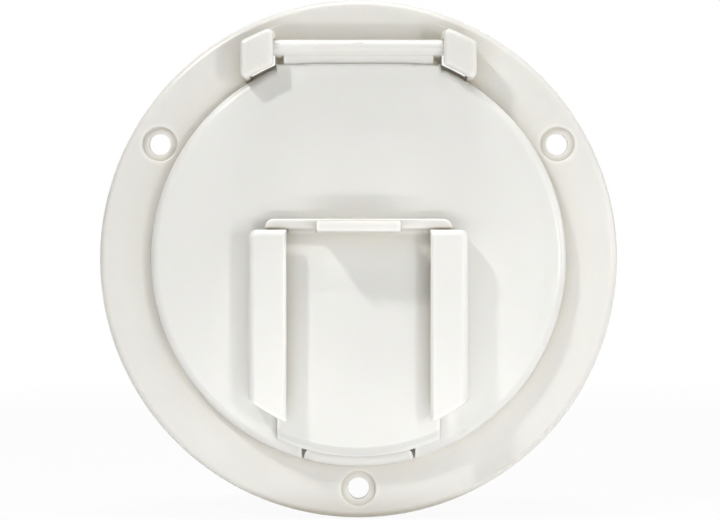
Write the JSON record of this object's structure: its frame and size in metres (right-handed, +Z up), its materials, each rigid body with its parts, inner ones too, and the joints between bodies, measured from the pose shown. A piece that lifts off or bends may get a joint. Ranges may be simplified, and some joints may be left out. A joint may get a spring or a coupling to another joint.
{
  "type": "rv cable hatch",
  "caption": "Round flush-mount cable hatch: screwed flange with a collar, hinged lid, and a slide on the lid that opens a notch for the cable.",
  "frame": {"origin": "centre of the flange's back face, in the plane of the wall it is screwed to", "axes": "+Z up the wall towards the hinge, -Y out of the wall through the lid, +X to the right seen from the front"},
  "size_m": [0.1334, 0.0429, 0.1334],
  "materials": {
    "flange_plastic": "smooth moulded plastic, warm white",
    "lid_plastic": "smooth moulded plastic, warm white",
    "slide_plastic": "smooth moulded plastic, warm white"
  },
  "bodies": {
    "flange_body": {"mounting_flange": "flange_plastic"},
    "lid_body": {"lid": "lid_plastic"},
    "slide_body": {"cable_slide": "slide_plastic"}
  },
  "joints": [
    {"name": "lid_hinge", "type": "hinge", "parent": "flange_body", "child": "lid_body", "pos_m": [0, -0.0088, 0.05345], "axis": [-1, 0, 0], "range_deg": [0, 150]},
    {"name": "slide_travel", "type": "slide", "parent": "lid_body", "child": "slide_body", "axis": [0, 0, 1], "range_m": [0, 0.028]}
  ]
}
